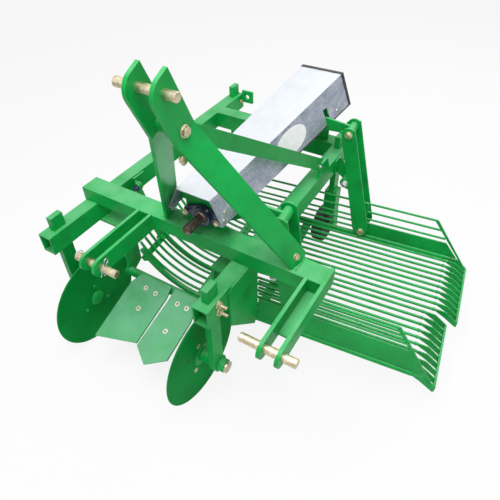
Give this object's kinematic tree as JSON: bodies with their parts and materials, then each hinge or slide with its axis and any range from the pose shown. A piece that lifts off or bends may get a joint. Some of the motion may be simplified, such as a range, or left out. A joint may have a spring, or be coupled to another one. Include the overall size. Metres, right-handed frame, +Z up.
{
  "type": "potato digger",
  "caption": "Tractor-mounted root crop digger: a split share between coulter discs feeds shaking rod sieves that discharge to one side, driven by a shaft under a sheet cover.",
  "frame": {"origin": "centre of the top link pin", "axes": "+X towards the side the sieves discharge to, +Y to the rear of the machine, +Z up"},
  "size_m": [1.4653, 1.5869, 1.345],
  "materials": {
    "green_paint": "satin green paint",
    "galvanised": "galvanised sheet",
    "yellow_zinc": "yellow zinc plate",
    "shaft_steel": "bare turned steel",
    "bearing_navy": "dark blue painted casting",
    "wheel_black": "black rubber",
    "trim_black": "black plastic"
  },
  "bodies": {
    "frame": {"cover_end_cap": "trim_black", "front_beam": "green_paint", "front_bearing": "bearing_navy", "front_bearing_stand": "green_paint", "front_pivot_bracket": "green_paint", "guard_plate": "green_paint", "left_coulter_shank": "green_paint", "left_link_bracket": "green_paint", "left_link_pin": "yellow_zinc", "left_mast_plate": "green_paint", "left_rail": "green_paint", "left_share_blade": "green_paint", "left_support_leg": "green_paint", "mast_brace": "green_paint", "rear_beam": "green_paint", "rear_bearing": "bearing_navy", "rear_bearing_stand": "green_paint", "rear_pivot_bracket": "green_paint", "right_coulter_shank": "green_paint", "right_link_bracket": "green_paint", "right_link_pin": "yellow_zinc", "right_mast_plate": "green_paint", "right_rail": "green_paint", "right_share_blade": "green_paint", "right_support_leg": "green_paint", "shaft_cover": "galvanised", "share_carrier": "green_paint", "top_link_pin": "yellow_zinc"},
    "drive_shaft": {"drive_shaft": "shaft_steel"},
    "left_coulter": {"left_coulter_disc": "green_paint", "left_coulter_axle": "yellow_zinc"},
    "right_coulter": {"right_coulter_disc": "green_paint", "right_coulter_axle": "yellow_zinc"},
    "left_wheel": {"left_support_wheel": "wheel_black"},
    "right_wheel": {"right_support_wheel": "wheel_black"},
    "front_rocker": {"front_rocker": "green_paint"},
    "front_connecting_rod": {"front_connecting_rod": "green_paint"},
    "front_sieve": {"front_sieve_grid": "green_paint", "front_sieve_wall": "green_paint"},
    "front_hanger": {"front_hanger": "green_paint"},
    "rear_rocker": {"rear_rocker": "green_paint"},
    "rear_connecting_rod": {"rear_connecting_rod": "green_paint"},
    "rear_sieve": {"rear_sieve_grid": "green_paint", "rear_sieve_wall": "green_paint"},
    "rear_hanger": {"rear_hanger": "green_paint"}
  },
  "joints": [
    {"name": "drive_shaft_spin", "type": "hinge", "parent": "frame", "child": "drive_shaft", "pos_m": [-0.102, 0.63, -0.586], "axis": [0, 1, 0], "continuous": true},
    {"name": "left_coulter_spin", "type": "hinge", "parent": "frame", "child": "left_coulter", "pos_m": [-0.01, 0.062, -1.081], "axis": [1, 0, 0], "continuous": true},
    {"name": "right_coulter_spin", "type": "hinge", "parent": "frame", "child": "right_coulter", "pos_m": [-0.56, 0.062, -1.081], "axis": [1, 0, 0], "continuous": true},
    {"name": "left_wheel_spin", "type": "hinge", "parent": "frame", "child": "left_wheel", "pos_m": [0.027, 1.125, -1.197], "axis": [1, 0, 0], "continuous": true},
    {"name": "right_wheel_spin", "type": "hinge", "parent": "frame", "child": "right_wheel", "pos_m": [-0.597, 1.34, -1.197], "axis": [1, 0, 0], "continuous": true},
    {"name": "front_rocker_swing", "type": "hinge", "parent": "frame", "child": "front_rocker", "pos_m": [0.1515, 0.36716, -0.79426], "axis": [-0.108, 0.9942, 0], "range_deg": [-6.02, 0]},
    {"name": "front_sieve_pivot", "type": "hinge", "parent": "front_rocker", "child": "front_sieve", "pos_m": [0.23012, 0.37571, -1.055], "axis": [-0.108, 0.9942, 0], "range_deg": [0, 6.02]},
    {"name": "front_rod_pivot", "type": "hinge", "parent": "front_rocker", "child": "front_connecting_rod", "pos_m": [0.16144, 0.36824, -0.5565], "axis": [-0.108, 0.9942, 0], "range_deg": [0, 6.02]},
    {"name": "front_hanger_swing", "type": "hinge", "parent": "frame", "child": "front_hanger", "pos_m": [-0.578, 0.42673, -0.744], "axis": [-0.108, 0.9942, 0], "range_deg": [-6.02, 0]},
    {"name": "rear_rocker_swing", "type": "hinge", "parent": "frame", "child": "rear_rocker", "pos_m": [0.1515, 1.02753, -0.804], "axis": [-0.108, 0.9942, 0], "range_deg": [0, 6.02]},
    {"name": "rear_sieve_pivot", "type": "hinge", "parent": "rear_rocker", "child": "rear_sieve", "pos_m": [0.25688, 1.03897, -1.055], "axis": [-0.108, 0.9942, 0], "range_deg": [-6.02, 0]},
    {"name": "rear_rod_pivot", "type": "hinge", "parent": "rear_rocker", "child": "rear_connecting_rod", "pos_m": [0.13659, 1.02591, -0.5665], "axis": [-0.108, 0.9942, 0], "range_deg": [-6.02, 0]},
    {"name": "rear_hanger_swing", "type": "hinge", "parent": "frame", "child": "rear_hanger", "pos_m": [-0.574, 0.86774, -0.714], "axis": [-0.108, 0.9942, 0], "range_deg": [0, 6.02]}
  ],
  "couplings": [
    {"joint": "front_sieve_pivot", "follows": "front_rocker_swing", "ratio": -1},
    {"joint": "front_rod_pivot", "follows": "front_rocker_swing", "ratio": -1},
    {"joint": "front_hanger_swing", "follows": "front_rocker_swing", "ratio": 1},
    {"joint": "rear_sieve_pivot", "follows": "rear_rocker_swing", "ratio": -1},
    {"joint": "rear_rod_pivot", "follows": "rear_rocker_swing", "ratio": -1},
    {"joint": "rear_hanger_swing", "follows": "rear_rocker_swing", "ratio": 1}
  ]
}
